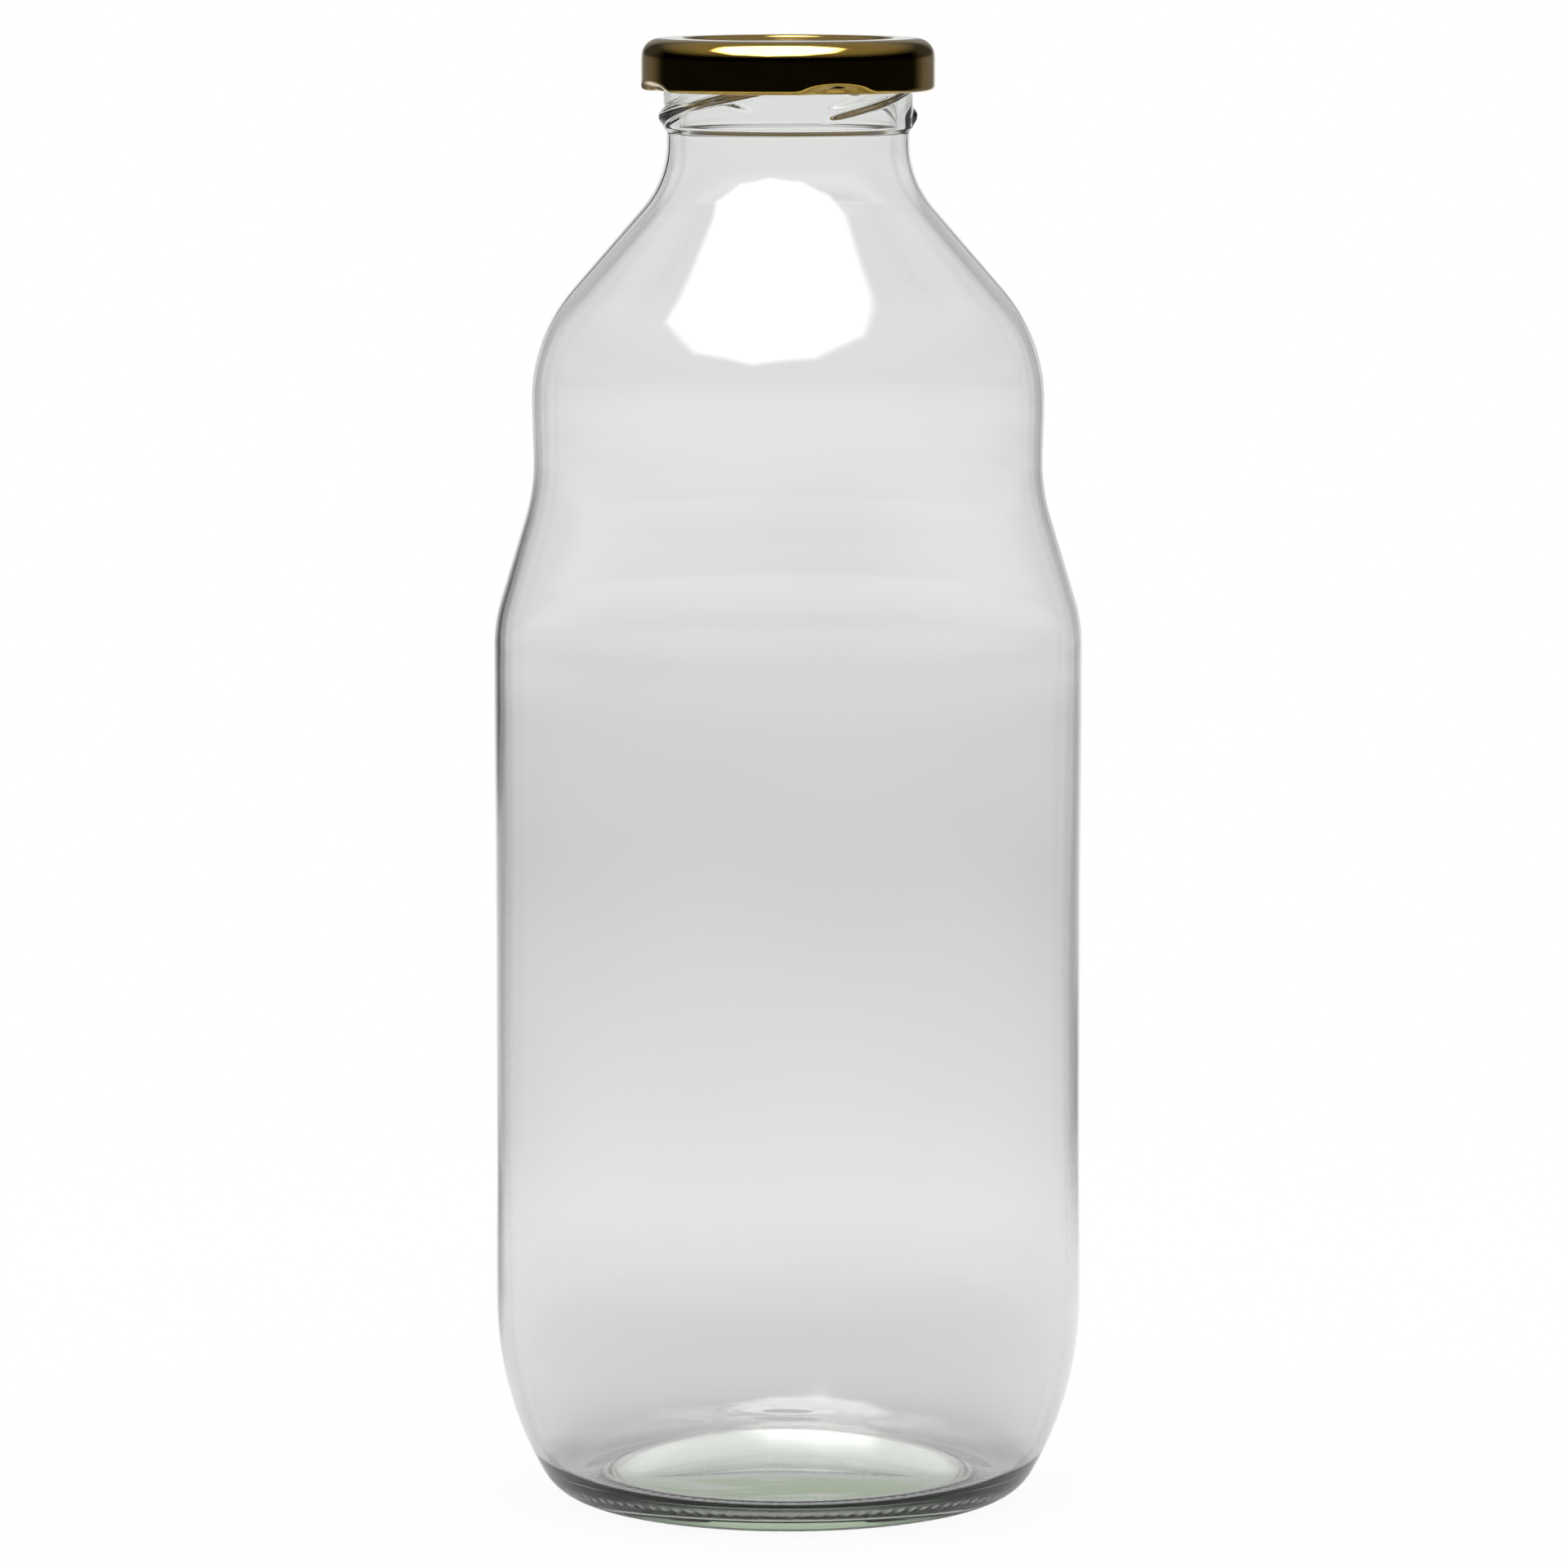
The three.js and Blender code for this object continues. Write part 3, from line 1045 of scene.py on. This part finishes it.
    def _mirrored(
        self, tree: bpy.types.NodeTree, off_back: bpy.types.NodeSocket, up: bpy.types.NodeSocket
    ) -> bpy.types.NodeSocket:
        """Lays out what polished faces mirror: a white backdrop with dimmer edges, a dark room and a pale ceiling.

        Args:
            tree: The world's nodes.
            off_back: How far round a direction is from straight behind.
            up: The share of it that points up.

        Returns:
            The tone in that direction.
        """
        backdrop = place(tree, "ShaderNodeMapRange", SOFT, span(off_back, *self.backdrop))
        wings = place(tree, "ShaderNodeMapRange", SOFT, span(off_back, *self.wings))
        head = place(tree, "ShaderNodeMapRange", SOFT, span(up, *self.head))
        behind = place(tree, "ShaderNodeMath", TIMES, {0: backdrop.outputs[0], 1: wings.outputs[0]})
        behind = place(tree, "ShaderNodeMath", TIMES, {0: behind.outputs[0], 1: head.outputs[0]})
        ceiling = place(tree, "ShaderNodeMapRange", SOFT, span(up, *self.ceiling))
        tone = place(tree, "ShaderNodeMath", LARGER, {0: behind.outputs[0], 1: ceiling.outputs[0]})
        return tone.outputs[0]

    def _through(
        self, tree: bpy.types.NodeTree, off_back: bpy.types.NodeSocket, up: bpy.types.NodeSocket
    ) -> bpy.types.NodeSocket:
        """Lays out what shows through the glass: an uneven backdrop between two dark flags, and a dimmer room.

        Args:
            tree: The world's nodes.
            off_back: How far round a direction is from straight behind.
            up: The share of it that points up.

        Returns:
            The tone in that direction.
        """
        graded: bpy.types.NodeSocket | float = self.shown
        for low, high, paler in self.patches:
            patch = place(tree, "ShaderNodeMapRange", SOFT, span(up, low, high, paler, 0.0))
            graded = place(tree, "ShaderNodeMath", PLUS, {0: patch.outputs[0], 1: graded}).outputs[0]
        off_flag = place(tree, "ShaderNodeMath", MINUS, {0: off_back, 1: math.radians(self.flag_turn)})
        off_flag = place(tree, "ShaderNodeMath", UNSIGNED, {0: off_flag.outputs[0]})
        flags = place(tree, "ShaderNodeMapRange", SOFT, span(off_flag.outputs[0], *self.flag))
        room = place(tree, "ShaderNodeMapRange", SOFT, span(off_back, *self.room))
        flagged = place(tree, "ShaderNodeMath", TIMES, {0: flags.outputs[0], 1: room.outputs[0]})
        tone = place(tree, "ShaderNodeMath", TIMES, {0: graded, 1: flagged.outputs[0]})
        return tone.outputs[0]

    def _softbox(self, tree: bpy.types.NodeTree, way: bpy.types.NodeSocket) -> bpy.types.NodeSocket:
        """Lays out an eight-sided light in the world.

        Args:
            tree: The world's nodes.
            way: The direction that a ray leaves in.

        Returns:
            How far that direction is from the light's middle, as a share of its distance.
        """
        aim = Vector(self.softbox_aim).normalized()
        right = Vector((1, 0, 0)).cross(aim).cross(aim).normalized() * -1
        right.rotate(Quaternion(aim, math.radians(self.softbox_roll)))
        rise = aim.cross(right)
        dots = [
            place(tree, "ShaderNodeVectorMath", {"operation": "DOT_PRODUCT"}, {0: way, 1: axis}).outputs["Value"]
            for axis in (aim, right, rise, (right + rise).normalized(), (right - rise).normalized())
        ]
        ahead = place(tree, "ShaderNodeMath", LARGER, {0: dots[0], 1: 1e-3})
        reach = None
        for dot in dots[1:]:
            out = place(tree, "ShaderNodeMath", {"operation": "DIVIDE"}, {0: dot, 1: ahead.outputs[0]})
            far = place(tree, "ShaderNodeMath", UNSIGNED, {0: out.outputs[0]})
            if reach is not None:
                far = place(tree, "ShaderNodeMath", LARGER, {0: far.outputs[0], 1: reach})
            reach = far.outputs[0]
        return reach

    def _floor_painted_light(
        self, tree: bpy.types.NodeTree, where: bpy.types.NodeSocket, length: bpy.types.NodeSocket
    ) -> bpy.types.NodeSocket:
        """Lays out the floor's painted light and shade as it shows through the glass: a painted shadow that pales
        further out, with a painted green cast under the base.

        Args:
            tree: The floor's nodes.
            where: The place on the floor.
            length: Its distance from the bottle's axis.

        Returns:
            The colour there.
        """
        # painted shadow round the bottle: through the glass the floor is darker next to it and paler further out
        near = place(tree, "ShaderNodeMapRange", SOFT, span(length, *self.painted_shadow_near))
        far = place(tree, "ShaderNodeMapRange", SOFT, span(length, *self.painted_shadow_far))
        paler = place(tree, "ShaderNodeMath", PLUS, {0: near.outputs[0], 1: far.outputs[0]})
        tone = place(tree, "ShaderNodeMath", PLUS, {0: paler.outputs[0], 1: self.painted_shadow_tone})
        # painted shade, darker towards the front
        depth = place(tree, "ShaderNodeSeparateXYZ", None, {0: where}).outputs["Y"]
        darker_front = place(tree, "ShaderNodeMapRange", SOFT, span(depth, *self.front_painted_shade))
        tone = place(tree, "ShaderNodeMath", TIMES, {0: tone.outputs[0], 1: darker_front.outputs[0]})
        off_ring = place(tree, "ShaderNodeMath", MINUS, {0: length, 1: self.contact_radius})
        off_ring = place(tree, "ShaderNodeMath", UNSIGNED, {0: off_ring.outputs[0]})
        contact = place(tree, "ShaderNodeMapRange", SOFT, span(off_ring.outputs[0], *self.contact))
        tone = place(tree, "ShaderNodeMath", TIMES, {0: tone.outputs[0], 1: contact.outputs[0]})
        # painted caustics: bright patches in the painted green cast
        clouds = place(
            tree,
            "ShaderNodeTexNoise",
            None,
            {"Vector": where, "Scale": 1 / self.painted_gleam_size, "Detail": 2.0, "Distortion": 1.2},
        )
        painted_gleam = place(tree, "ShaderNodeMapRange", SOFT, span(clouds.outputs[0], *self.painted_gleam))
        # painted green cast of the glass on the floor under the raised base
        clear = place(tree, "ShaderNodeMapRange", SOFT, span(length, *self.cast_reach))
        clear = place(tree, "ShaderNodeMath", LARGER, {0: clear.outputs[0], 1: painted_gleam.outputs[0]})
        shaded = place(
            tree,
            "ShaderNodeMix",
            COLOURS,
            {"Factor": clear.outputs[0], "A": linear(self.cast), "B": tone.outputs[0]},
        )
        return shaded.outputs["Result"]

    def floor(self) -> bpy.types.Object:
        """Makes the floor, a pale disc that fades into the surround and isn't there from beneath; through the glass it
        glows with painted shadow, painted shade, a painted green cast and painted gleams.

        Returns:
            The floor, which isn't part of the bottle.
        """
        mesh = bmesh.new()
        bmesh.ops.create_circle(mesh, cap_ends=True, radius=self.floor_radius, segments=96)
        bmesh.ops.translate(mesh, verts=mesh.verts, vec=(0, 0, -0.3 * MM))
        paper = bpy.data.materials.new("white_paper_sweep")
        tree = clean_tree(paper)
        path = place(tree, "ShaderNodeLightPath")
        where = place(tree, "ShaderNodeTexCoord").outputs["Object"]
        length = place(tree, "ShaderNodeVectorMath", {"operation": "LENGTH"}, {0: where}).outputs["Value"]
        # seen straight the floor is white; through the glass it shows its painted shadow, shade, cast and gleams
        tone = place(
            tree,
            "ShaderNodeMix",
            COLOURS,
            {
                "Factor": path.outputs["Transmission Depth"],
                "A": linear("#FFFFFF"),
                "B": self._floor_painted_light(tree, where, length),
            },
        )
        matt = place(tree, "ShaderNodeBsdfDiffuse", None, {"Color": tone.outputs["Result"]})
        # the floor glows: evenly white seen straight, and with its painted shadow and cast through the glass
        lift = place(tree, "ShaderNodeEmission", None, {"Color": tone.outputs["Result"]})
        seen = place(
            tree, "ShaderNodeMath", TIMES, {0: path.outputs["Is Camera Ray"], 1: self.floor_seen}
        )
        shone = place(
            tree,
            "ShaderNodeMath",
            {"operation": "MULTIPLY_ADD"},
            {0: path.outputs["Is Transmission Ray"], 1: self.floor_through, 2: seen.outputs[0]},
        )
        paled = place(tree, "ShaderNodeMixShader", None, {0: shone.outputs[0], 1: matt.outputs[0], 2: lift.outputs[0]})
        clear = place(tree, "ShaderNodeBsdfTransparent")
        fade = place(
            tree,
            "ShaderNodeMapRange",
            SOFT,
            span(length, self.floor_radius * 0.35, self.floor_radius * 0.98, 0.0, 1.0),
        )
        under = place(tree, "ShaderNodeNewGeometry").outputs["Backfacing"]
        gone = place(tree, "ShaderNodeMath", LARGER, {0: fade.outputs[0], 1: under})
        surface = place(
            tree, "ShaderNodeMixShader", None, {0: gone.outputs[0], 1: paled.outputs[0], 2: clear.outputs[0]}
        )
        place(tree, "ShaderNodeOutputMaterial", None, {"Surface": surface.outputs[0]})
        floor = finish_piece(mesh, "studio_floor", [paper])
        return floor

    def camera(self) -> None:
        """Sets the camera: a long lens a little above the cap, tipped down to the middle of the bottle."""
        lens = bpy.data.cameras.new("studio_camera")
        lens.lens = self.lens
        lens.sensor_width = self.sensor
        lens.clip_start = 0.01
        lens.shift_x, lens.shift_y = self.shift
        camera = bpy.data.objects.new("studio_camera", lens)
        bpy.context.scene.collection.objects.link(camera)
        camera.location = self.eye
        camera.rotation_euler = (math.radians(90 - self.tip), 0.0, 0.0)
        bpy.context.scene.camera = camera


# ---------------------------------------------------------------- assembly


def main() -> None:
    """Builds the bottle, its cap and its ring round the frame, and sets the studio."""
    logging.basicConfig(level=logging.INFO, format="%(name)s: %(message)s")
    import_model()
    bpy.context.scene.view_settings.view_transform = "Standard"

    studio = Studio()
    studio.camera()
    studio.light()
    studio.floor()

    cap_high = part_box("cap_shell")[1]
    seal_low, seal_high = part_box("sealing_ring")
    GlassBottle().build()
    TwistOffCap(top=cap_high[2] / MM).build()
    SealingRing(low=tuple(seal_low), high=tuple(seal_high)).build()


if __name__ == "__main__":
    main()
